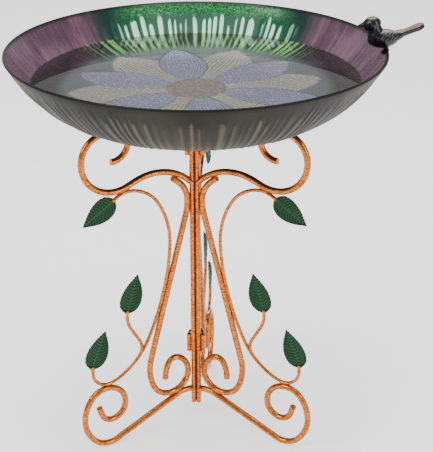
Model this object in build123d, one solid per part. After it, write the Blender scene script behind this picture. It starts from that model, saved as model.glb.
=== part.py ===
from build123d import *
import math
import os

# A bird bath: a shallow glass bowl that lifts off a stand of bent and welded rod.
# The stand is three flat frames. The rear one carries two wire staples, and the left and
# right ones hang on them by short tubes, so that they fold back against the rear frame.
# Millimetres and degrees. The origin is on the floor below the middle of the stand's posts.

# Rods, sheet and gaps
ROD_RADIUS = 4.0
VINE_RADIUS = 2.25
POST_RADIUS = 3.2
LEAF_THICKNESS = 1.4
WELD_BITE = 0.6             # how deep two welded rods sink into each other
PART_GAP = 0.3              # between pieces that are not joined to each other

# Stand
STAND_HEIGHT = 433.0        # floor to the top of the hooks
POST_FOOT = 24.0            # lower end of the posts, above the floor
POST_TOP_DROP = 13.0        # upper end of the posts, below the top of the hooks
FRAME_AZIMUTH = {"rear": 90.0, "left": 218.0, "right": 338.0}

# Hinges
STAPLE_RADIUS = 1.5
STAPLE_PLAY = 0.08          # between a staple's leg and the bore of its tube
STAPLE_BEND = 3.0
STAPLE_DEPTH = 21.0         # how far a staple's legs reach down into the tubes
STAPLE_HALF_BACK = 5.2      # half the staple's width behind the rear post
KNUCKLE_RADIUS = 3.0
KNUCKLE_LENGTH = 25.0
KNUCKLE_TURN = 12.0         # the tubes sit this far behind the sides of the front posts
LOWER_KNUCKLE = 102.5       # lower end of the lower tubes, above the floor
UPPER_KNUCKLE_DROP = 54.0   # lower end of the upper tubes, below the top of the hooks

# Scroll: the long rod with a coil at its foot
SCROLL_SHOULDER = 57.0      # radius where it leaves the post
SCROLL_SHOULDER_DROP = 110.0
SCROLL_HIP = 61.5           # radius where it starts to turn under
COIL_SIDE = (65.5, 92.7)    # reach and height of the coil's outermost point

# Leaves
LEAF_LENGTH = 52.0
LEAF_WIDTH = 31.0
LEAF_BELLY = 18.5           # from the base to the widest place
TOP_LEAF_LENGTH = 49.0
LEAF_INSET = 3.0            # how far the leaf's base overlaps its rod's end

# Bowl
RIM_RADIUS = 225.0
BASE_RADIUS = 106.0         # flat underside, which the hooks carry
BOWL_WALL = 3.5
BOWL_CURVE = [(114.0, 21.0), (130.0, 22.5), (208.0, 15.4)]      # radius and turn, base to rim
BOWL_OFFSET = (3.0, 0.4)

# Bird on the rim
BIRD_AZIMUTH = 5.0
BIRD_BODY = (20.0, 11.6)     # half its length and half its girth
BIRD_BODY_AT = (7.5, 0.0, 14.2)
BIRD_HEAD_RADIUS = 9.7
BIRD_HEAD_AT = (19.2, 0.0, 31.0)
BEAK_TIP = 35.7
TAIL_TIP = (-39.0, 30.2)
TAIL_ROOT = (0.0, 14.5)
TAIL_WIDTHS = (10.0, 15.0)
TAIL_THICKNESS = 4.0
CLIP_WIDTH = 7.0
CLIP_GRIP = 8.0
CLIP_SHEET = 1.6
STUB_RADIUS = 2.4

HOOK_LINE = STAND_HEIGHT - ROD_RADIUS
POST_TOP = STAND_HEIGHT - POST_TOP_DROP
POST_SPACING = 2 * POST_RADIUS + PART_GAP
POST_AT = {
    "left": (-POST_SPACING / 2, 0.0),
    "right": (POST_SPACING / 2, 0.0),
    "rear": (0.0, POST_SPACING * math.cos(math.radians(30))),
}
KNUCKLE_REACH = POST_RADIUS + KNUCKLE_RADIUS - PART_GAP
HINGE_X = POST_SPACING / 2 + KNUCKLE_REACH * math.cos(math.radians(KNUCKLE_TURN))
HINGE_Y = KNUCKLE_REACH * math.sin(math.radians(KNUCKLE_TURN))
HINGE_AT = {"left": (-HINGE_X, HINGE_Y), "right": (HINGE_X, HINGE_Y)}
KNUCKLE_FOOT = {"lower": LOWER_KNUCKLE, "upper": STAND_HEIGHT - UPPER_KNUCKLE_DROP}
BASE_Z = STAND_HEIGHT + PART_GAP


# Bending and sweeping rods. A frame is drawn flat: x is the reach from its post, y the height.

def direction(heading):
    """Unit vector at a heading in degrees."""
    angle = math.radians(heading)
    return Vector(math.cos(angle), math.sin(angle))


def bend(start, heading, steps):
    """Edges of a rod bent on a jig: a number is a straight run, a pair is (radius, turn)."""
    edges = []
    point = Vector(*start)
    aim = direction(heading)
    for step in steps:
        if isinstance(step, tuple):
            edge = JernArc(point, aim, step[0], step[1])
        else:
            edge = Line(point, point + aim * step)
        edges.append(edge)
        point = edge @ 1
        aim = edge % 1
    return edges


def shifted(edges, dx, dy):
    """The same bent rod, moved in its frame's plane."""
    return [Pos(dx, dy, 0) * edge for edge in edges]


def box_of(edges):
    """Bounding box of a rod's centreline."""
    return Wire(edges).bounding_box()


def rod(edges, radius):
    """Round rod along a centreline."""
    path = Wire(edges)
    section = Plane(origin=path @ 0, z_dir=path % 0) * Circle(radius)
    return sweep(section, path=path).solid()


# Centrelines of one frame

def arm_line():
    """Arm that leaves the post, dips and curls up into the hook under the bowl."""
    hook = [(40.5, 68), (33.5, 121), (14.5, 80), (22, 63)]
    edges = bend((1.5, 0), 47, [(69.5, -69), 12, (43.5, 53)] + hook)
    return shifted(edges, 0, HOOK_LINE - box_of(edges).max.Y)


def leg_line():
    """Leg that leaves the post, touches the floor and curls up into the foot."""
    curl = [(28, 68), (48, 85), (26.5, 151), (21, 62), (15, 90), 12]
    edges = bend((1.5, 0), 17, [(36, -40), 97] + curl)
    return shifted(edges, 0, ROD_RADIUS - box_of(edges).min.Y)


def scroll_tangent():
    """Heading and length of the scroll's straight run, and the centre of its hip."""
    side = POST_RADIUS + ROD_RADIUS - WELD_BITE / 2
    shoulder = Vector(side + SCROLL_SHOULDER, HOOK_LINE - SCROLL_SHOULDER_DROP)
    hip = Vector(COIL_SIDE[0] - SCROLL_HIP, COIL_SIDE[1])
    gap = hip - shoulder
    both = SCROLL_SHOULDER + SCROLL_HIP
    heading = math.degrees(math.atan2(gap.Y, gap.X) + math.asin(both / gap.length))
    run = math.sqrt(gap.length ** 2 - both ** 2)
    return shoulder, heading, run


def scroll_line():
    """Scroll that touches the post, runs down and out, and coils up again."""
    shoulder, heading, run = scroll_tangent()
    lean = heading + 90
    start = shoulder - Vector(SCROLL_SHOULDER, 0)
    top = bend(start, 90, [2, (35, -51), 9.5])
    down = bend(start, -90, [(SCROLL_SHOULDER, lean), run, (SCROLL_HIP, -27 - lean)])
    coil = bend(down[-1] @ 1, -117, [(26.5, -215), (11, -88), (39, -34)])
    return list(reversed(top)) + down + coil


def vine_lines():
    """Vine that leans on the scroll, in its lower and upper halves, and the place of its tendril."""
    shoulder, heading, run = scroll_tangent()
    climb = heading + 180
    across = direction(heading + 90)
    touch = ROD_RADIUS + VINE_RADIUS - WELD_BITE
    low = box_of(leg_line()[4:5]).max.Y + touch
    turns = [(21, -17), (67.5, -13), (95.5, -33), (312, climb - 117)]
    lower = bend((0, low), 180, turns)
    beside = shoulder + direction(heading - 90) * SCROLL_SHOULDER + across * touch
    reach = (beside - lower[-1] @ 1).dot(across) / across.X
    lower = shifted(lower, reach, 0)
    tip = bend((reach, low), 0, [(21, 89), 11])
    bow = [(290, 93 - climb), (104, -35), (50.5, -46), (32.5, -55)]
    straight = 1.0
    for again in range(6):
        upper = bend(lower[-1] @ 1, climb, [straight] + bow)
        straight += Wire(upper).distance_to(Wire(arm_line())) - touch
    tendril_foot = lower[2] @ 0.62
    return tip, lower, upper, tendril_foot


def tendril_line(foot):
    """Thin rod that leaves the vine and stands up under the middle leaf."""
    return bend(foot, 119, [(21.5, -59), 23, (37, 43)])


# Pieces of one frame

def biggest(shape):
    """Largest solid left after a cut."""
    return shape.solids().sort_by(SortBy.VOLUME)[-1]


def leaf(length, tip, heading):
    """Flat leaf outline, round at the base and pointed at the tip, set on a rod's end."""
    half = LEAF_WIDTH / 2
    near = (LEAF_BELLY ** 2 + half ** 2) / (2 * half)
    far = ((length - LEAF_BELLY) ** 2 + half ** 2) / (2 * half)
    near_turn = math.degrees(math.asin(LEAF_BELLY / near))
    far_turn = math.degrees(math.asin((length - LEAF_BELLY) / far))
    side = bend((0, 0), near_turn, [(near, -near_turn), (far, -far_turn)])
    other = bend((0, 0), -near_turn, [(near, near_turn), (far, far_turn)])
    outline = make_face(Wire(side + other))
    blade = extrude(outline, LEAF_THICKNESS / 2, both=True)
    root = tip - direction(heading) * LEAF_INSET
    return Pos(root.X, root.Y, 0) * Rot(0, 0, heading) * blade


def post_solid(side):
    """Straight post of one frame."""
    x, y = POST_AT[side]
    return Pos(x, y, POST_FOOT) * extrude(Circle(POST_RADIUS), POST_TOP - POST_FOOT)


def stand_up(side, shape):
    """Turn a piece drawn flat into its frame's place."""
    x, y = POST_AT[side]
    return Pos(x, y, 0) * Rot(0, 0, FRAME_AZIMUTH[side]) * Rot(90, 0, 0) * shape


def frame_pieces(side):
    """All pieces of one frame that are alike in the three frames."""
    tip, lower, upper, tendril_foot = vine_lines()
    vine_edges = list(reversed(tip)) + lower + upper
    tendril_edges = tendril_line(tendril_foot)
    blades = {
        "leaf_top": leaf(TOP_LEAF_LENGTH, upper[-1] @ 1, -31),
        "leaf_mid": leaf(LEAF_LENGTH, tendril_edges[-1] @ 1, 108),
        "leaf_low": leaf(LEAF_LENGTH, tip[-1] @ 1, 113),
    }
    post = post_solid(side)
    pieces = {
        "post": post,
        "arm": biggest(stand_up(side, rod(arm_line(), ROD_RADIUS)) - post),
        "scroll": stand_up(side, rod(scroll_line(), ROD_RADIUS)),
        "leg": biggest(stand_up(side, rod(leg_line(), ROD_RADIUS)) - post),
        "vine": stand_up(side, rod(vine_edges, VINE_RADIUS)),
        "tendril": stand_up(side, rod(tendril_edges, VINE_RADIUS)),
    }
    for name, blade in blades.items():
        pieces[name] = stand_up(side, blade)
    return pieces


# Hinges

def knuckle(side, level):
    """Short tube welded to a front post, which turns on a staple's leg."""
    x, y = HINGE_AT[side]
    ring = Circle(KNUCKLE_RADIUS) - Circle(STAPLE_RADIUS + STAPLE_PLAY)
    tube = Pos(x, y, KNUCKLE_FOOT[level]) * extrude(ring, KNUCKLE_LENGTH)
    return biggest(tube - post_solid(side))


def staple(level):
    """Wire staple welded behind the rear post, with a leg down into each tube."""
    top = KNUCKLE_FOOT[level] + KNUCKLE_LENGTH
    low = top - STAPLE_DEPTH
    high = top + PART_GAP + STAPLE_BEND
    back = POST_AT["rear"][1] + POST_RADIUS + STAPLE_RADIUS - PART_GAP
    route = [
        (-HINGE_X, HINGE_Y, low),
        (-HINGE_X, HINGE_Y, high),
        (-STAPLE_HALF_BACK, back, high),
        (STAPLE_HALF_BACK, back, high),
        (HINGE_X, HINGE_Y, high),
        (HINGE_X, HINGE_Y, low),
    ]
    path = FilletPolyline(*route, radius=STAPLE_BEND)
    section = Plane(origin=path @ 0, z_dir=path % 0) * Circle(STAPLE_RADIUS)
    return biggest(sweep(section, path=path).solid() - post_solid("rear"))


# Bowl and bird

def bowl_curve(thickness):
    """Radii and turns of the wall at a depth inside it, scaled to end at the rim."""
    angle = 0.0
    reach = 0.0
    for radius, turn in BOWL_CURVE:
        start = math.sin(math.radians(angle))
        angle += turn
        reach += radius * (math.sin(math.radians(angle)) - start)
    scale = (RIM_RADIUS - BASE_RADIUS) / reach
    return [(radius * scale - thickness, turn) for radius, turn in BOWL_CURVE]


def bowl_solid():
    """Shallow bowl turned about its axis, of even wall, with a round lip."""
    outer = bend((BASE_RADIUS, BASE_Z), 0, bowl_curve(0))
    inner = bend((BASE_RADIUS, BASE_Z + BOWL_WALL), 0, bowl_curve(BOWL_WALL))
    lip = JernArc(outer[-1] @ 1, outer[-1] % 1, BOWL_WALL / 2, 180)
    under = Line((0, BASE_Z), (BASE_RADIUS, BASE_Z))
    floor = Line((0, BASE_Z + BOWL_WALL), (BASE_RADIUS, BASE_Z + BOWL_WALL))
    axis = Line((0, BASE_Z), (0, BASE_Z + BOWL_WALL))
    half = make_face(Wire([under] + outer + [lip] + inner + [floor, axis]))
    bowl = revolve(Rot(90, 0, 0) * half, Axis.Z, 360)
    return Pos(*BOWL_OFFSET, 0) * bowl.solid()


def rim_height():
    """Top of the lip."""
    outer = bend((BASE_RADIUS, BASE_Z), 0, bowl_curve(0))
    lip = JernArc(outer[-1] @ 1, outer[-1] % 1, BOWL_WALL / 2, 180)
    return lip.bounding_box().max.Y


def on_rim(shape):
    """Put a piece drawn with x towards the bowl's axis at the bird's place on the rim."""
    toward = direction(BIRD_AZIMUTH) * RIM_RADIUS
    place = Pos(BOWL_OFFSET[0] + toward.X, BOWL_OFFSET[1] + toward.Y, rim_height())
    return place * Rot(0, 0, BIRD_AZIMUTH + 180) * shape


def bird_solid():
    """Small bird with a long raised tail, before it is put on the rim."""
    length, girth = BIRD_BODY
    half = Ellipse(length, girth) & Pos(0, girth / 2) * Rectangle(2 * length, girth)
    body = Pos(*BIRD_BODY_AT) * revolve(half, Axis.X, 360)
    head = Pos(*BIRD_HEAD_AT) * Sphere(BIRD_HEAD_RADIUS)
    beak_length = BEAK_TIP - BIRD_HEAD_AT[0]
    beak = Cone(4.2, 0.5, beak_length, align=(Align.CENTER, Align.CENTER, Align.MIN))
    beak = Pos(*BIRD_HEAD_AT) * Rot(0, 90, 0) * beak
    run = Vector(TAIL_ROOT[0] - TAIL_TIP[0], TAIL_TIP[1] - TAIL_ROOT[1])
    near, far = TAIL_WIDTHS
    corners = [(0, -near / 2), (0, near / 2), (-run.length, far / 2), (-run.length, -far / 2)]
    fan = extrude(make_face(Polyline(*corners, close=True)), TAIL_THICKNESS / 2, both=True)
    slope = math.degrees(math.atan2(run.Y, run.X))
    tail = Pos(TAIL_ROOT[0], 0, TAIL_ROOT[1]) * Rot(0, slope, 0) * fan
    return (body + head + beak + tail).solid()


def clip_solid(bowl, bird):
    """Folded clip that grips the lip, with the stub that carries the bird."""
    thick = BOWL_WALL + 2 * CLIP_SHEET
    lean = 90 - sum(turn for radius, turn in BOWL_CURVE)
    grip = Box(thick, CLIP_WIDTH, CLIP_GRIP, align=(Align.CENTER, Align.CENTER, Align.MAX))
    grip = Pos(BOWL_WALL / 2, 0, CLIP_SHEET) * Rot(0, -lean, 0) * grip
    stub = Pos(BOWL_WALL / 2, 0, -BOWL_WALL / 2) * extrude(Circle(STUB_RADIUS), BIRD_BODY_AT[2])
    return biggest(on_rim(grip + stub) - bowl - bird)


def all_pieces():
    """Every node of the bird bath by name."""
    pieces = {}
    for side in FRAME_AZIMUTH:
        for name, shape in frame_pieces(side).items():
            pieces[side + "_" + name] = shape
    for side in HINGE_AT:
        for level in KNUCKLE_FOOT:
            pieces[side + "_knuckle_" + level] = knuckle(side, level)
    for level in KNUCKLE_FOOT:
        pieces["hinge_staple_" + level] = staple(level)
    bowl = bowl_solid()
    bird = on_rim(bird_solid())
    pieces["bowl"] = bowl
    pieces["bird"] = bird
    pieces["bird_clip"] = clip_solid(bowl, bird)
    return pieces


os.makedirs("parts", exist_ok=True)
for node, shape in all_pieces().items():
    export_step(shape, "parts/" + node + ".step")
    print(node, "mm3", round(shape.volume, 1))
print("hinges at", [round(value, 3) for value in HINGE_AT["left"] + HINGE_AT["right"]])
print("bowl floor", round(BASE_Z + BOWL_WALL, 2), "rim", round(rim_height(), 2))
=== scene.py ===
# %% [markdown]
# # A glass bird bath on a folding scroll stand
# The stand is bent from round rod, welded into three flat frames and finished like old copper.
# The bowl is moulded glass, fluted round its wall, with a flower pressed into its floor and pearl
# paint inside. A small glossy bird is clipped on the rim. The solids that carry load and fold
# come from the frame. Here each one gets its finish, and the bowl, the leaves and the bird get
# the shapes that a plain solid leaves out.

# %% Load the frame
import bpy
import math
from mathutils import Matrix, Vector


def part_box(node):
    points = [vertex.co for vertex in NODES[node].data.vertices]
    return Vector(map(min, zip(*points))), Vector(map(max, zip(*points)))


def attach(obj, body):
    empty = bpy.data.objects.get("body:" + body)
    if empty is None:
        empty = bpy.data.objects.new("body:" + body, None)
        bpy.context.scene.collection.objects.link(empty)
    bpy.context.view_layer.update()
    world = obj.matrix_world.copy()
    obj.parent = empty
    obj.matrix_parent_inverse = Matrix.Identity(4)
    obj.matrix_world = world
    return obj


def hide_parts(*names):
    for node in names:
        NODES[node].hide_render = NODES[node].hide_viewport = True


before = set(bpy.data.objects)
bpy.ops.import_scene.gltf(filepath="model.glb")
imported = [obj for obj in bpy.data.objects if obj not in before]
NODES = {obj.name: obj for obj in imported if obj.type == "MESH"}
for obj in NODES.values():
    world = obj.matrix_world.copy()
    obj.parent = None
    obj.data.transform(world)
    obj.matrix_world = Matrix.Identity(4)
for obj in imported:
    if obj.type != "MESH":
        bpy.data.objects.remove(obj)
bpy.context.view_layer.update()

SIDES = ("rear", "left", "right")
MM = 0.001
bpy.ops.object.select_all(action="DESELECT")
print("nodes", len(NODES))

# %% [markdown]
# Every place below is read off the solids, so the bowl's own box gives its middle, its rim and
# its floor. The wall's section is the one sum that both the bowl and its water need.

# %% Places read off the solids
BOWL_LOW, BOWL_HIGH = [Vector(corner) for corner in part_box("bowl")]
BOWL_MIDDLE = (BOWL_LOW + BOWL_HIGH) / 2
RIM_RADIUS = 225 * MM
RIM_TOP = BOWL_HIGH.z
BASE_RADIUS = 106 * MM
BOWL_WALL = 3.5 * MM
WALL_BENDS = ((114 * MM, 21.0), (130 * MM, 22.5), (208 * MM, 15.4))
WATER_TOP = BOWL_LOW.z + BOWL_WALL + 41 * MM


def wall_section(inset, rings):
    """Points from the edge of the flat base up to the rim, inset into the glass."""
    unit = 0.0
    angle = 0.0
    for radius, turn in WALL_BENDS:
        unit -= radius * math.sin(math.radians(angle))
        angle += turn
        unit += radius * math.sin(math.radians(angle))
    grow = (RIM_RADIUS - BASE_RADIUS) / unit
    reach, height, angle = BASE_RADIUS, BOWL_LOW.z + inset, 0.0
    points = [(reach, height)]
    for radius, turn in WALL_BENDS:
        bend = radius * grow - inset
        start = math.radians(angle)
        for ring in range(1, rings + 1):
            there = math.radians(angle + turn * ring / rings)
            points.append((reach + bend * (math.sin(there) - math.sin(start)),
                           height + bend * (math.cos(start) - math.cos(there))))
        reach, height = points[-1]
        angle += turn
    return points


def height_at(points, reach):
    """Height of a section at a reach from the axis."""
    for (r0, z0), (r1, z1) in zip(points, points[1:]):
        if r0 <= reach <= r1:
            return z0 + (z1 - z0) * (reach - r0) / (r1 - r0)
    return points[0][1] if reach < points[0][0] else points[-1][1]


def reach_at(points, height):
    """Reach of a section at a height."""
    for (r0, z0), (r1, z1) in zip(points, points[1:]):
        if z0 <= height <= z1:
            return r0 + (r1 - r0) * (height - z0) / (z1 - z0)
    return points[-1][0]


print("rim at", round(RIM_TOP, 4), "bowl middle", [round(v, 4) for v in BOWL_MIDDLE])

# %% [markdown]
# ## Camera, floor and light
# A product table is lit softly from all round, with one large light high on the left, one on the
# right and one above. The room itself is kept dimmer than the white table, so that the water
# mirrors it only faintly and the flower on the bowl's floor shows through.

# %% Camera
camera_data = bpy.data.cameras.new("camera")
camera_data.sensor_width = 36
camera_data.lens = 93.8
camera = bpy.data.objects.new("camera", camera_data)
bpy.context.scene.collection.objects.link(camera)
CAMERA_DISTANCE = 1.3444
CAMERA_AZIMUTH = math.radians(-82)
camera.location = (CAMERA_DISTANCE * math.cos(CAMERA_AZIMUTH),
                   CAMERA_DISTANCE * math.sin(CAMERA_AZIMUTH), 0.9004)
camera.rotation_euler = (math.radians(65.356), 0, math.radians(6.847))
bpy.context.scene.camera = camera
print("camera at", [round(v, 3) for v in camera.location])


# %% Floor and lights
def area_light(name, spot, target, size, power):
    """Rectangular soft light at a place, aimed at a target."""
    data = bpy.data.lights.new(name, "AREA")
    data.shape = "RECTANGLE"
    data.size, data.size_y = size
    data.energy = power
    lamp = bpy.data.objects.new(name, data)
    bpy.context.scene.collection.objects.link(lamp)
    lamp.location = spot
    aim = Vector(target) - Vector(spot)
    lamp.rotation_euler = aim.to_track_quat("-Z", "Y").to_euler()
    return lamp


bpy.ops.mesh.primitive_plane_add(size=16, location=(0, 0, 0))
floor = bpy.context.object
floor.name = "floor"
area_light("key", (-1.6, -1.5, 2.0), (0, 0, 0.3), (1.2, 1.6), 34)
area_light("fill", (1.9, -1.2, 1.2), (0, 0, 0.3), (0.7, 1.8), 20)
area_light("top", (0, 0.1, 2.6), (0, 0, 0), (2.4, 2.4), 55)
world = bpy.data.worlds.new("studio")
bpy.context.scene.world = world
world.use_nodes = True
world.node_tree.nodes["Background"].inputs["Color"].default_value = (1, 1, 1, 1)
world.node_tree.nodes["Background"].inputs["Strength"].default_value = 0.55
print("lights", 3)

# %% [markdown]
# ## Shader sums
# Finishes are easier to read as sums than as webs of nodes. The small class below wraps one
# socket, so that `a * b + c` adds the Math nodes, and `made` adds any other node.


# %% Shader sums
class Value:
    """One output socket that takes part in sums."""

    def __init__(self, tree, socket):
        self.tree = tree
        self.socket = socket

    def math(self, operation, *others, clamp=False):
        values = {index + 1: other for index, other in enumerate(others)}
        values[0] = self
        return made(self.tree, "Math", {"operation": operation, "use_clamp": clamp}, values)

    def __add__(self, other):
        return self.math("ADD", other)

    def __sub__(self, other):
        return self.math("SUBTRACT", other)

    def __rsub__(self, other):
        return self.math("MULTIPLY", -1.0) + other

    def __mul__(self, other):
        return self.math("MULTIPLY", other)

    __radd__ = __add__
    __rmul__ = __mul__


def made(tree, kind, settings=None, sockets=None, output=0):
    """Adds a node: its settings first, then values or links for its sockets."""
    node = tree.nodes.new("ShaderNode" + kind)
    for name, value in (settings or {}).items():
        if name == "stops":
            ramp = node.color_ramp
            ramp.elements[0].position, ramp.elements[0].color = value[0]
            ramp.elements[1].position, ramp.elements[1].color = value[-1]
            for position, color in value[1:-1]:
                ramp.elements.new(position).color = color
        else:
            setattr(node, name, value)
    for name, value in (sockets or {}).items():
        if isinstance(name, int):
            target = node.inputs[name]
        else:
            target = next(s for s in node.inputs if name in (s.identifier, s.name))
        if isinstance(value, Value):
            tree.links.new(value.socket, target)
        else:
            target.default_value = value
    if isinstance(output, str):
        return Value(tree, next(s for s in node.outputs if output in (s.identifier, s.name)))
    return Value(tree, node.outputs[output])


def finish(name):
    """New material with an empty tree."""
    material = bpy.data.materials.new(name)
    material.use_nodes = True
    material.node_tree.nodes.clear()
    return material, material.node_tree


def coat(tree, sockets, bump=None, bump_height=0.0002):
    """Principled surface and output; bump is a height that feeds its normal."""
    sockets = dict(sockets)
    if bump is not None:
        sockets["Normal"] = made(tree, "Bump", {}, {
            "Strength": 1.0, "Distance": bump_height, "Height": bump})
    surface = made(tree, "BsdfPrincipled", {}, sockets)
    output = tree.nodes.new("ShaderNodeOutputMaterial")
    tree.links.new(surface.socket, output.inputs["Surface"])


def blend(tree, factor, one, two):
    """Mix of two colours."""
    return made(tree, "Mix", {"data_type": "RGBA"},
                {"Factor_Float": factor, "A_Color": one, "B_Color": two}, "Result_Color")


def step(value, low, high):
    """0 below low, 1 above high, smooth between."""
    return made(value.tree, "MapRange", {"interpolation_type": "SMOOTHSTEP"}, {
        "Value": value, "From Min": low, "From Max": high})


def noise(tree, where, scale, detail=2.0, rough=0.5):
    """Noise from 0 to 1."""
    return made(tree, "TexNoise", {}, {
        "Vector": where, "Scale": scale, "Detail": detail, "Roughness": rough})


def place(tree, offset=(0, 0, 0), scale=(1, 1, 1)):
    """Object coordinates, moved and stretched."""
    raw = made(tree, "TexCoord", {}, {}, "Object")
    return made(tree, "Mapping", {}, {"Vector": raw, "Location": offset, "Scale": scale})


def axes(tree, vector):
    """The three parts of a vector."""
    outputs = made(tree, "SeparateXYZ", {}, {0: vector}).socket.node.outputs
    return [Value(tree, socket) for socket in outputs]


def upward(tree):
    """1 where the surface faces the sky, -1 where it faces the ground."""
    return axes(tree, made(tree, "NewGeometry", {}, {}, "Normal"))[2]


def attribute(tree, name):
    """Number that the mesh carries at its points."""
    return made(tree, "Attribute", {"attribute_name": name}, {}, "Fac")


print("shader sums ready")

# %% [markdown]
# ## Old copper on the rods
# The rods are steel with a copper-coloured lacquer that is brushed and darkened. The brush leaves
# short marks across the rod, and dark wax stays in them. So the colour runs from dark brown in the
# marks to bright copper on the rubbed places, and the same marks dent the surface a little.
# Undersides are painted slightly darker, as painted shade.


# %% Copper finish
def copper_finish():
    """Copper lacquer, waxed dark in its brush marks, with painted shade on its undersides."""
    material, tree = finish("old_copper")
    marks = noise(tree, place(tree, scale=(0.3, 0.3, 1)), 800, 3, 0.65)
    mottled = noise(tree, place(tree), 300, 3, 0.6)
    # dark wax in the brush marks, plus painted shade where the rod faces down
    wax_and_underside_shade = step(marks * 0.7 + mottled * 0.3 - upward(tree) * 0.06, 0.32, 0.72)
    color = made(tree, "ValToRGB", {"stops": [
        (0.0, (0.72, 0.25, 0.06, 1)), (0.5, (0.44, 0.115, 0.018, 1)),
        (1.0, (0.16, 0.036, 0.007, 1))]}, {0: wax_and_underside_shade}, "Color")
    coat(tree, {"Base Color": color, "Metallic": 1.0, "Roughness": 0.2 + wax_and_underside_shade * 0.14},
         marks, 0.0002)
    return material


COPPER = copper_finish()
print("copper nodes", len(COPPER.node_tree.nodes))


# %% Black wire finish
def wire_finish():
    """Black wire of the hinge staples, a little scuffed."""
    material, tree = finish("black_wire")
    scuff = step(noise(tree, place(tree), 400, 3), 0.5, 0.75)
    color = blend(tree, scuff, (0.012, 0.012, 0.013, 1), (0.09, 0.085, 0.08, 1))
    coat(tree, {"Base Color": color, "Metallic": 0.3, "Roughness": 0.35 + scuff * 0.25}, scuff)
    return material


WIRE = wire_finish()


def dress(node, material):
    """Gives a CAD node one finish."""
    shape = NODES[node]
    shape.data.materials.clear()
    shape.data.materials.append(material)


for name in NODES:
    if name.startswith("hinge_staple"):
        dress(name, WIRE)
    elif "leaf" not in name and name not in ("bowl", "bird", "bird_clip"):
        dress(name, COPPER)
print("rods dressed")

# %% [markdown]
# ## Moulded glass bowl
# Moulded glass keeps every ripple of its mould. The wall's section is spun into a closed shell,
# and then each point is pushed by small reliefs: uneven flutes down the lower wall, and a flower
# of six broad petals over six behind, round a beaded disc. The same sums are kept on the
# points as numbers, so that the paint follows the relief.

# %% Reliefs of the bowl
STEPS = 720
FLUTES = 128
FLUTE_TOP = 501 * MM
FLUTE_HEIGHT = 1.3 * MM
PETALS = 6
FLOWER_TURN = math.radians(48)
DISC_RADIUS = 37 * MM
PETAL_END = 152 * MM


def smooth(value, low, high):
    """0 to 1 between low and high."""
    share = min(1.0, max(0.0, (value - low) / (high - low)))
    return share * share * (3 - 2 * share)


def flute(angle):
    """Uneven flutes round the wall, 0 to 1."""
    warped = angle + 0.018 * math.sin(7 * angle + 1) + 0.009 * math.sin(19 * angle + 2.4)
    ripple = 0.5 + 0.5 * math.cos(FLUTES * warped + 1.3 * math.sin(31 * angle))
    weight = 0.72 + 0.28 * math.sin(23 * angle + 3 * math.sin(5 * angle))
    return ripple * weight


def flute_reach(angle, height):
    """How strongly the flutes stand at a height: none near the rim, with an uneven start."""
    start = FLUTE_TOP + (3.5 * math.sin(37 * angle) + 2.5 * math.sin(61 * angle + 2)) * MM
    return smooth(start - height, 0, 11 * MM)


def petal(angle, reach, turn, half_width, end):
    """Height share of a ring of petals at a point, and how far across the petal it lies."""
    spread = 2 * math.pi / PETALS
    off = (angle - turn + spread / 2) % spread - spread / 2
    along = (reach - 0.6 * DISC_RADIUS) / (end - 0.6 * DISC_RADIUS)
    if not 0 < along < 1:
        return 0.0, 0.0
    width = half_width * math.sin(math.pi * along ** 1.35) ** 0.62
    side = abs(reach * math.sin(off))
    return smooth(width - side, 0, 2.4 * MM), side / max(width, MM)


print("flutes", FLUTES, "petals", 2 * PETALS)


# %% Spin the bowl's section
def bowl_section():
    """Closed half section: floor, inner wall, lip, outer wall and base."""
    inner = wall_section(BOWL_WALL, 12)
    outer = wall_section(0, 8)
    floor_rings = 40
    points = [(BASE_RADIUS * ring / floor_rings, inner[0][1]) for ring in range(floor_rings)]
    points += inner
    (r0, z0), (r1, z1) = inner[-1], outer[-1]
    middle = Vector(((r0 + r1) / 2, (z0 + z1) / 2))
    arm = Vector((r0, z0)) - middle
    for share in range(1, 6):
        turn = -math.pi * share / 6
        spot = middle + Matrix.Rotation(turn, 2) @ arm
        points.append((spot.x, spot.y))
    points += list(reversed(outer))
    points += [(BASE_RADIUS * ring / 5, outer[0][1]) for ring in (4, 3, 2, 1, 0)]
    return points


def spin_section(name, points, steps):
    """Spins a section about the bowl's axis and closes it."""
    mesh = bpy.data.meshes.new(name)
    places = [(BOWL_MIDDLE.x + reach, BOWL_MIDDLE.y, height) for reach, height in points]
    mesh.from_pydata(places, [(i, i + 1) for i in range(len(points) - 1)], [])
    piece = bpy.data.objects.new(name, mesh)
    bpy.context.scene.collection.objects.link(piece)
    bpy.ops.object.select_all(action="DESELECT")
    piece.select_set(True)
    bpy.context.view_layer.objects.active = piece
    bpy.ops.object.mode_set(mode="EDIT")
    bpy.ops.mesh.select_all(action="SELECT")
    bpy.ops.mesh.spin(steps=steps, angle=2 * math.pi, axis=(0, 0, 1),
                      center=(BOWL_MIDDLE.x, BOWL_MIDDLE.y, 0))
    bpy.ops.mesh.select_all(action="SELECT")
    bpy.ops.mesh.remove_doubles(threshold=0.00001)
    bpy.ops.mesh.normals_make_consistent(inside=False)
    bpy.ops.object.mode_set(mode="OBJECT")
    bpy.ops.object.shade_smooth()
    return piece


bowl = spin_section("glass_bowl", bowl_section(), STEPS)
print("bowl faces", len(bowl.data.polygons))


# %% Push the reliefs and keep them as numbers
PAINT_NUMBERS = ("outside", "violet", "cream", "disc", "flute", "vein", "around", "lip")


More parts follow.
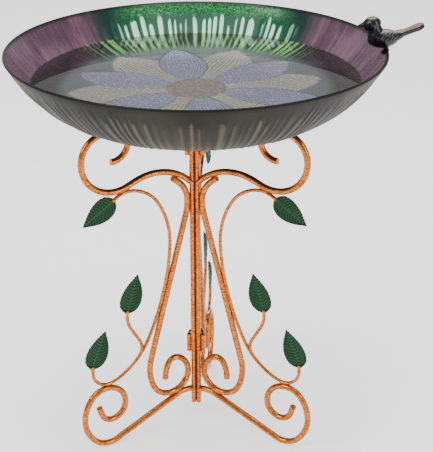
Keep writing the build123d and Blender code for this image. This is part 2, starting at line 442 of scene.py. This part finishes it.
def floor_relief(reach, angle):
    """Height of the flower at a point, with its violet, cream, disc and vein shares."""
    violet, across = petal(angle, reach, FLOWER_TURN, 31 * MM, PETAL_END)
    cream, over = petal(angle, reach, FLOWER_TURN + math.pi / PETALS, 38 * MM, PETAL_END)
    disc = smooth(DISC_RADIUS - reach, 0, 2 * MM)
    cream *= (1 - violet) * (1 - disc)
    violet *= 1 - disc
    vein = 0.5 + 0.5 * math.cos(13 * math.pi * (across if violet > 0.5 else over))
    beads = 1.4 + 0.5 * math.cos(reach * 1400) * math.cos(20 * angle)
    lift = 1.2 * violet + 0.55 * cream + 0.25 * vein * (violet + cream) + disc * beads
    return lift * MM, (violet, cream, disc, vein)


def press_relief(piece):
    """Moves the bowl's points by its reliefs and stores what the paint needs."""
    inner = wall_section(BOWL_WALL, 12)
    middle = wall_section(BOWL_WALL / 2, 12)
    kept = {name: [] for name in PAINT_NUMBERS}
    for vertex in piece.data.vertices:
        x, y = vertex.co.x - BOWL_MIDDLE.x, vertex.co.y - BOWL_MIDDLE.y
        reach, angle, height = math.hypot(x, y), math.atan2(y, x), vertex.co.z
        outside = reach > RIM_RADIUS or height < height_at(middle, reach)
        ripple = flute(angle) * flute_reach(angle, height) * smooth(reach, 112 * MM, 150 * MM)
        lift, shares = floor_relief(reach, angle)
        if reach > PETAL_END + 4 * MM:
            slope = math.atan2(height_at(inner, reach + MM) - height_at(inner, reach), MM)
            normal = Vector((-math.sin(slope) * x / reach, -math.sin(slope) * y / reach,
                             math.cos(slope)))
            vertex.co -= normal * ripple * FLUTE_HEIGHT * (1.0 if outside else -0.5)
        elif not outside:
            vertex.co.z += lift
        numbers = (outside, *shares[:3], ripple, shares[3], angle / math.pi,
                   height > RIM_TOP - 2.2 * MM)
        for name, value in zip(PAINT_NUMBERS, numbers):
            kept[name].append(float(value))
    for name, values in kept.items():
        piece.data.attributes.new(name, "FLOAT", "POINT").data.foreach_set("value", values)


press_relief(bowl)
bpy.ops.object.select_all(action="DESELECT")
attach(bowl, "bowl")
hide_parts("bowl")
print("bowl height", round(bowl.dimensions.z, 4))

# %% [markdown]
# The paint is a pearl whose colour shift is painted by place, as a painted sheen: green on the
# back and front of the inner wall and mauve on its sides. Pale streaks down the flutes of the
# green part are painted highlights, and below the water line the wall is painted darker, as
# painted shade.
# Under the flower's relief the petals are violet and cream, with bright specks like mica painted
# as glints. The outside is dark olive with painted highlights on its flute crests, and the lip is
# nearly black.


# %% Paint of the inner wall
GREEN_TURN = math.radians(95)


def wall_paint(tree, x, y, z, cloud, fine, long, ripple):
    """Mauve sides and green back and front as painted sheen, with pale painted highlight
    streaks, and painted shade under water.
    """
    reach = made(tree, "Math", {"operation": "SQRT"}, {0: x * x + y * y})
    # painted sheen: the pearl's shift with viewing angle, painted by place as green towards
    # GREEN_TURN and mauve on the sides
    turned = y * math.sin(GREEN_TURN) + x * math.cos(GREEN_TURN)
    turned = made(tree, "Math", {"operation": "ABSOLUTE"}, {0: turned})
    painted_sheen_green_share = made(tree, "Math", {"operation": "DIVIDE"}, {0: turned, 1: reach})
    painted_sheen_green_share = painted_sheen_green_share + (cloud - 0.5) * 0.09
    mauve = blend(tree, step(cloud + (long - 0.5) * 0.6, 0.3, 0.7), (0.09, 0.045, 0.07, 1),
                  (0.21, 0.11, 0.165, 1))
    teal = blend(tree, fine, (0.004, 0.022, 0.018, 1), (0.012, 0.05, 0.04, 1))
    leafy = blend(tree, step(fine, 0.4, 0.62), (0.004, 0.055, 0.022, 1), (0.06, 0.33, 0.1, 1))
    wall = blend(tree, step(painted_sheen_green_share, 0.68, 0.8), mauve, teal)
    wall = blend(tree, step(painted_sheen_green_share, 0.8, 0.93), wall, leafy)
    low_wall = step(z + (long - 0.5) * 0.012, 0.505, 0.495)
    # pale streaks down the flutes: painted highlights of the light reflecting in the green wall
    painted_highlight_streak = step(ripple + (long - 0.5) * 0.8, 0.3, 0.5) * low_wall
    wall = blend(tree, low_wall * step(painted_sheen_green_share, 0.78, 0.88), wall, (0.006, 0.075, 0.036, 1))
    wall = blend(tree, painted_highlight_streak * step(painted_sheen_green_share, 0.8, 0.88) * 0.95, wall, (0.5, 0.86, 0.66, 1))
    # below the water line the wall is painted dark, as painted shade, with its highlight streaks
    # painted green
    underwater_shade = step(z, WATER_TOP + 1.5 * MM, WATER_TOP)
    underwater_shade_and_streak = blend(tree, painted_highlight_streak * step(painted_sheen_green_share, 0.6, 0.75), (0.022, 0.014, 0.014, 1),
                    (0.2, 0.62, 0.13, 1))
    return blend(tree, underwater_shade * 0.95, wall, underwater_shade_and_streak), reach


# %% Paint of the floor
def floor_paint(tree, here, cloud, fine, mica_glint):
    """Grey ground with violet and cream petals round a beaded disc."""
    violet, cream, disc, vein = [attribute(tree, name)
                                 for name in ("violet", "cream", "disc", "vein")]
    either = violet + cream
    ground = blend(tree, fine, (0.1, 0.115, 0.125, 1), (0.17, 0.185, 0.195, 1))
    lilac = blend(tree, cloud, (0.18, 0.18, 0.3, 1), (0.34, 0.31, 0.52, 1))
    paint = blend(tree, violet, ground, lilac)
    paint = blend(tree, cream, paint, (0.44, 0.4, 0.31, 1))
    outline = step(violet * (1 - violet), 0.02, 0.12)
    paint = blend(tree, outline * 0.85, paint, (0.05, 0.05, 0.06, 1))
    paint = blend(tree, either * step(vein, 0.6, 0.1) * 0.6, paint, (0.09, 0.09, 0.11, 1))
    cells = made(tree, "TexVoronoi", {}, {"Vector": here, "Scale": 190.0}, "Distance")
    beads = blend(tree, step(cells, 0.5, 0.25), (0.2, 0.18, 0.165, 1), (0.52, 0.28, 0.22, 1))
    paint = blend(tree, disc, paint, beads)
    # bright specks of the pearl's flakes, painted as glints
    return blend(tree, mica_glint * either * 0.75, paint, (0.85, 0.9, 1.0, 1))


# %% Bowl finish
def outer_paint(tree, here, ripple):
    """Dark olive, with painted highlights on the crests of the flutes."""
    olive = blend(tree, step(noise(tree, here, 9, 3), 0.35, 0.65), (0.01, 0.01, 0.007, 1),
                  (0.026, 0.023, 0.017, 1))
    # painted highlight on the flute crests
    return blend(tree, step(ripple, 0.45, 0.95) * 0.45, olive, (0.15, 0.125, 0.09, 1))


def bowl_finish():
    """Pearl paint inside, olive outside, with a dark lip."""
    material, tree = finish("pearl_bowl")
    here = place(tree)
    x, y, z = axes(tree, place(tree, offset=(-BOWL_MIDDLE.x, -BOWL_MIDDLE.y, 0)))
    outside, ripple, lip = [attribute(tree, name) for name in ("outside", "flute", "lip")]
    fine = noise(tree, here, 420, 4, 0.7)
    cloud = noise(tree, here, 16, 3)
    round_wall = made(tree, "CombineXYZ", {}, {0: attribute(tree, "around") * 90.0, 1: z * 14.0})
    long = made(tree, "TexNoise", {"noise_dimensions": "2D"}, {
        "Vector": round_wall, "Scale": 1.0, "Detail": 3.0, "Roughness": 0.6})
    # mask of the flakes that are painted as bright glints
    mica_glint = step(noise(tree, here, 520, 2, 0.8), 0.57, 0.64)
    wall, reach = wall_paint(tree, x, y, z, cloud, fine, long, ripple)
    flat = step(reach, 170 * MM, 152 * MM)
    inside = blend(tree, flat, wall, floor_paint(tree, here, cloud, fine, mica_glint))
    color = blend(tree, outside, inside, outer_paint(tree, here, ripple))
    color = blend(tree, lip, color, (0.008, 0.008, 0.008, 1))
    coat(tree, {"Base Color": color, "Roughness": 0.24 + outside * 0.2 + mica_glint * 0.1, "IOR": 1.18,
                "Metallic": (1 - outside) * 0.2, "Coat Weight": (1 - outside) * 0.35,
                "Coat Roughness": 0.08}, fine * 0.4 + long * (1 - flat) * 0.6, 0.0004)
    return material


bowl.data.materials.append(bowl_finish())
print("bowl painted")

# %% [markdown]
# ## Water
# Still water mirrors a little and bends the view downwards, so the floor looks nearer than it is.
# The water is a closed body. Its flat top is free, and its skin below runs inside the glass, so
# that no gap of air is left between the water and the painted wall.


# %% Water body
def water_finish():
    """Clear water with a hardly visible swell."""
    material, tree = finish("water")
    swell = noise(tree, place(tree), 22, 2)
    tint = blend(tree, swell, (0.93, 0.96, 0.96, 1), (0.97, 0.98, 0.98, 1))
    coat(tree, {"Base Color": tint, "Roughness": 0.0, "IOR": 1.33,
                "Transmission Weight": 1.0}, swell, 0.00004)
    return material


def water_body():
    """Spun body of water between its flat top and the middle of the glass."""
    skin = wall_section(BOWL_WALL / 2, 12)
    edge = reach_at(skin, WATER_TOP)
    points = [(0, skin[0][1])] + [spot for spot in skin if spot[1] < WATER_TOP - MM]
    points += [(edge, WATER_TOP), (edge / 2, WATER_TOP), (0, WATER_TOP)]
    return spin_section("water", points, 180), edge


water, water_edge = water_body()
water.data.materials.append(water_finish())
bpy.ops.object.select_all(action="DESELECT")
water.select_set(True)
bpy.context.view_layer.objects.active = water
bpy.ops.object.shade_smooth_by_angle(angle=math.radians(30))
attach(water, "bowl")
print("water reach", round(water_edge, 4), "top", round(WATER_TOP, 4))

# %% [markdown]
# ## Stamped leaves
# Each leaf is stamped from thin sheet: a midrib, and ribs that sweep from it towards the tip.
# One flat grid is shaped to the outline, pressed by the rib sum, and given a thickness. Each
# length is modelled once and copied to its places, which are read off the frame's plain leaves.

# %% Shape one leaf
LEAF_WIDTH = 31 * MM
LEAF_BELLY = 0.355
LEAF_RIBS = 10
LEAF_SHEET = 0.9 * MM


def leaf_half_width(along):
    """Half width of the outline at a share of the length: round base, pointed tip."""
    if along < LEAF_BELLY:
        share = 1 - along / LEAF_BELLY
        return LEAF_WIDTH / 2 * math.sqrt(max(0.0, 1 - share ** 2.2))
    share = (along - LEAF_BELLY) / (1 - LEAF_BELLY)
    return LEAF_WIDTH / 2 * (1 - share ** 1.9)


def leaf_mesh(length):
    """Ribbed leaf along +X from its base at the origin, face up."""
    bpy.ops.object.select_all(action="DESELECT")
    bpy.ops.mesh.primitive_grid_add(x_subdivisions=96, y_subdivisions=30, size=2)
    piece = bpy.context.object
    ridge = []
    for vertex in piece.data.vertices:
        along, across = (vertex.co.x + 1) / 2, vertex.co.y
        half = leaf_half_width(along)
        notch = 1 - 0.045 * (along * 26 % 1) * smooth(abs(across), 0.7, 1)
        x, y = along * length, across * half * notch
        phase = (x - 0.25 * abs(y) - 20 * y * y) / length * LEAF_RIBS * 1.25
        rib = (0.5 + 0.5 * math.cos(2 * math.pi * phase)) ** 1.8
        edge = smooth(1 - abs(across), 0, 0.12)
        spine = math.exp(-(y / (0.9 * MM)) ** 2)
        rise = (1.0 * rib * edge * (1 - spine) + 0.6 * spine) * MM
        cup = 1.5 * MM * (abs(across) ** 2) - 2.2 * MM * (along - 0.5) ** 2
        vertex.co = (x, y, rise + cup)
        ridge.append(max(rib * edge, spine))
    piece.data.attributes.new("ridge", "FLOAT", "POINT").data.foreach_set("value", ridge)
    bpy.ops.object.mode_set(mode="EDIT")
    bpy.ops.mesh.select_all(action="SELECT")
    bpy.ops.mesh.remove_doubles(threshold=0.00003)
    bpy.ops.object.mode_set(mode="OBJECT")
    bpy.ops.object.modifier_add(type="SOLIDIFY")
    piece.modifiers[-1].thickness = LEAF_SHEET
    piece.modifiers[-1].offset = -1
    bpy.ops.object.modifier_apply(modifier=piece.modifiers[-1].name)
    bpy.ops.object.shade_smooth()
    return piece


# %% Leaf finish
def leaf_finish():
    """Dark green paint, painted paler along the ribs as painted light on the relief,
    with painted ochre highlights on their crests.
    """
    material, tree = finish("leaf_paint")
    here = place(tree)
    ridge = attribute(tree, "ridge")
    fine = noise(tree, here, 700, 4, 0.7)
    wide = noise(tree, here, 60, 2)
    deep = blend(tree, wide, (0.002, 0.022, 0.007, 1), (0.005, 0.042, 0.013, 1))
    # ribs painted paler than the grooves: painted light and shade on the relief
    painted_rib_light = step(ridge * 0.8 + fine * 0.3, 0.5, 0.95)
    color = blend(tree, painted_rib_light * 0.75, deep, (0.016, 0.1, 0.03, 1))
    # painted ochre highlight on the rib crests
    color = blend(tree, step(ridge, 0.8, 1.0) * step(fine, 0.5, 0.7) * 0.55, color,
                  (0.15, 0.15, 0.07, 1))
    coat(tree, {"Base Color": color, "Metallic": 0.1, "Roughness": 0.5 - painted_rib_light * 0.1,
                "IOR": 1.3}, fine, 0.0002)
    return material


LEAF_PAINT = leaf_finish()


# %% Set the nine leaves
def leaf_place(side, which):
    """Matrix that lays a leaf on its plain solid, and its length."""
    points = [Vector(vertex.co) for vertex in NODES[side + "_" + which].data.vertices]
    middle = sum(points, Vector()) / len(points)
    one = max(points, key=lambda point: (point - middle).length)
    two = max(points, key=lambda point: (point - one).length)
    post = Vector(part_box(side + "_post")[0]) + Vector(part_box(side + "_post")[1])
    post = Vector((post.x / 2, post.y / 2, 0))
    if which == "leaf_top":
        base, tip = sorted((one, two), key=lambda p: math.hypot(p.x - post.x, p.y - post.y))
    else:
        base, tip = sorted((one, two), key=lambda p: p.z)
    out_way = Vector((middle.x - post.x, middle.y - post.y, 0)).normalized()
    face = out_way.cross(Vector((0, 0, 1)))
    if face.y > 0 and side != "rear":
        face.negate()
    along = tip - base
    along -= face * along.dot(face)
    length = along.length
    along.normalize()
    turn = Matrix((along, face.cross(along), face)).transposed().to_4x4()
    centre = base - face * (base - middle).dot(face)
    return Matrix.Translation(centre) @ turn, length


def leaf_copy(length, patterns):
    """Leaf with its own mesh, copied from the one pattern of its length."""
    key = round(length, 4)
    if key not in patterns:
        patterns[key] = leaf_mesh(length)
    leaf = patterns[key].copy()
    leaf.data = leaf.data.copy()
    bpy.context.scene.collection.objects.link(leaf)
    return leaf


leaf_patterns = {}
for side in SIDES:
    for which in ("leaf_top", "leaf_mid", "leaf_low"):
        matrix, length = leaf_place(side, which)
        leaf = leaf_copy(length, leaf_patterns)
        leaf.name = side + "_" + which + "_ribbed"
        leaf.data.transform(matrix)
        leaf.data.materials.append(LEAF_PAINT)
        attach(leaf, side + "_frame")
        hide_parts(side + "_" + which)
for pattern in leaf_patterns.values():
    bpy.data.objects.remove(pattern)
print("leaves set, lengths", sorted(leaf_patterns))

# %% [markdown]
# ## The bird
# The bird is a small casting. Rounded lumps for body, neck, head and rump, a cone for the beak
# and a plate for the tail are melted into one skin by a voxel remesh and then smoothed. The wing
# feathers and the groove of the tail are pressed into the skin afterwards.

# %% Lumps of the bird
bird_low, bird_high = [Vector(corner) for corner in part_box("bird")]
bird_way = Vector(((bird_low.x + bird_high.x) / 2 - BOWL_MIDDLE.x,
                   (bird_low.y + bird_high.y) / 2 - BOWL_MIDDLE.y, 0)).normalized()
bird_foot = Vector((BOWL_MIDDLE.x, BOWL_MIDDLE.y, 0)) + bird_way * RIM_RADIUS
bird_foot.z = RIM_TOP
BIRD_LUMPS = {
    "body": ((7.0, 0, 13.4), (18.6, 10.8, 11.2), 6),
    "breast": ((14.5, 0, 15.5), (11, 9.8, 11.6), 0),
    "neck": ((16.6, 0, 22.5), (8.6, 8.0, 9.0), 0),
    "head": ((20.6, 0, 30.2), (10.6, 8.8, 9.2), 14),
    "rump": ((-8.0, 0, 16.8), (12.5, 7.0, 6.2), 24),
}


def add_lump(middle, radii, tilt):
    """Ellipsoid in millimetres, tilted nose down."""
    bpy.ops.mesh.primitive_uv_sphere_add(segments=40, ring_count=24, radius=1)
    lump = bpy.context.object
    turn = Matrix.Rotation(math.radians(tilt), 4, "Y")
    lump.data.transform(Matrix.Translation(middle) @ turn @ Matrix.Diagonal((*radii, 1)))
    return lump


def add_beak():
    """Cone from the face to the beak's tip."""
    bpy.ops.mesh.primitive_cone_add(vertices=32, radius1=7.4, radius2=0.5, depth=15)
    beak = bpy.context.object
    turn = Matrix.Rotation(math.radians(99), 4, "Y")
    beak.data.transform(Matrix.Translation((30.2, 0, 29.2)) @ turn)
    return beak


def add_tail():
    """Long plate that widens to a rounded end."""
    bpy.ops.mesh.primitive_grid_add(x_subdivisions=16, y_subdivisions=6, size=2)
    tail = bpy.context.object
    for vertex in tail.data.vertices:
        along, across = (1 - vertex.co.x) / 2, vertex.co.y
        half = 5.0 + 4.2 * along
        end = 1 - 0.16 * across ** 2 * smooth(along, 0.7, 1)
        vertex.co = (-2 - 37.5 * along * end, across * half, 14.2 + 16 * along * end)
    bpy.ops.object.modifier_add(type="SOLIDIFY")
    tail.modifiers[-1].thickness = 5.2
    tail.modifiers[-1].offset = 0
    bpy.ops.object.modifier_apply(modifier=tail.modifiers[-1].name)
    return tail


# %% Melt them into one skin
def bird_skin():
    """Remeshed and smoothed skin of the bird, in millimetres."""
    bpy.ops.object.select_all(action="DESELECT")
    lumps = [add_lump(*sizes) for sizes in BIRD_LUMPS.values()] + [add_beak(), add_tail()]
    for lump in lumps:
        lump.select_set(True)
    bpy.context.view_layer.objects.active = lumps[0]
    bpy.ops.object.join()
    skin = bpy.context.object
    bpy.ops.object.modifier_add(type="REMESH")
    skin.modifiers[-1].mode = "VOXEL"
    skin.modifiers[-1].voxel_size = 0.55
    bpy.ops.object.modifier_apply(modifier=skin.modifiers[-1].name)
    bpy.ops.object.modifier_add(type="SMOOTH")
    skin.modifiers[-1].factor = 0.6
    skin.modifiers[-1].iterations = 12
    bpy.ops.object.modifier_apply(modifier=skin.modifiers[-1].name)
    bpy.ops.object.shade_smooth()
    return skin


def press_feathers(skin):
    """Wing outline, wing feathers, eyes and the tail's groove."""
    normals = [Vector(vertex.normal) for vertex in skin.data.vertices]
    for index, vertex in enumerate(skin.data.vertices):
        x, y, z = vertex.co
        wing = smooth(abs(y), 4.5, 7.5) * smooth(x, -13, -9) * smooth(13 - x, 0, 4)
        wing *= smooth(z, 11, 13.5) * smooth(24.5 - z, 0, 3)
        feather = 0.5 + 0.5 * math.cos((x * 0.92 + z * 0.75) * 2 * math.pi / 4.3)
        push = wing * (0.5 - 0.6 * feather ** 2)
        if x < -13:
            for line in (-3.0, 0.0, 3.0):
                groove = 0.4 * math.exp(-((y - line) / 0.45) ** 2)
                push -= groove * smooth(normals[index].z, 0.3, 0.8)
        eye = (Vector((23.2, 7.2 * (1 if y > 0 else -1), 32.6)) - vertex.co).length
        push += 0.7 * smooth(2.0 - eye, 0, 1.2)
        vertex.co += normals[index] * push
    return skin


bird = press_feathers(bird_skin())
bird.name = "bird_cast"
toward_bowl = -bird_way
sideways = Vector((0, 0, 1)).cross(toward_bowl)
turn = Matrix((toward_bowl, sideways, Vector((0, 0, 1)))).transposed().to_4x4()
bird.data.transform(Matrix.Translation(bird_foot) @ turn @ Matrix.Scale(MM, 4))
print("bird faces", len(bird.data.polygons))


# %% Bird finish
def bird_finish():
    """Black enamel, painted pearly pink and sand where it faces the sky, as painted sheen."""
    material, tree = finish("bird_enamel")
    here = place(tree)
    # painted sheen: the top of the bird, facing the light above, painted pink and sand
    painted_top_sheen = step(upward(tree) + noise(tree, here, 120, 2) * 0.25, 0.78, 1.02)
    tint = blend(tree, noise(tree, here, 70, 2), (0.3, 0.15, 0.14, 1), (0.34, 0.26, 0.16, 1))
    color = blend(tree, painted_top_sheen * 0.85, (0.003, 0.003, 0.005, 1), tint)
    coat(tree, {"Base Color": color, "Roughness": 0.2, "Metallic": 0.1, "Coat Weight": 0.4,
                "Coat Roughness": 0.06, "IOR": 1.35}, noise(tree, here, 300, 2), 0.0001)
    return material


ENAMEL = bird_finish()
bird.data.materials.append(ENAMEL)
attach(bird, "bowl")
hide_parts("bird")
dress("bird_clip", ENAMEL)


# %% Floor finish
def floor_finish():
    """Matt white table, hardly mottled."""
    material, tree = finish("table")
    cloud = noise(tree, place(tree), 3, 2)
    coat(tree, {"Base Color": blend(tree, cloud, (0.9, 0.9, 0.9, 1), (0.94, 0.94, 0.94, 1)),
                "Roughness": 0.8, "Emission Color": (1, 1, 1, 1), "Emission Strength": 1.0}, None)
    return material


floor.data.materials.append(floor_finish())
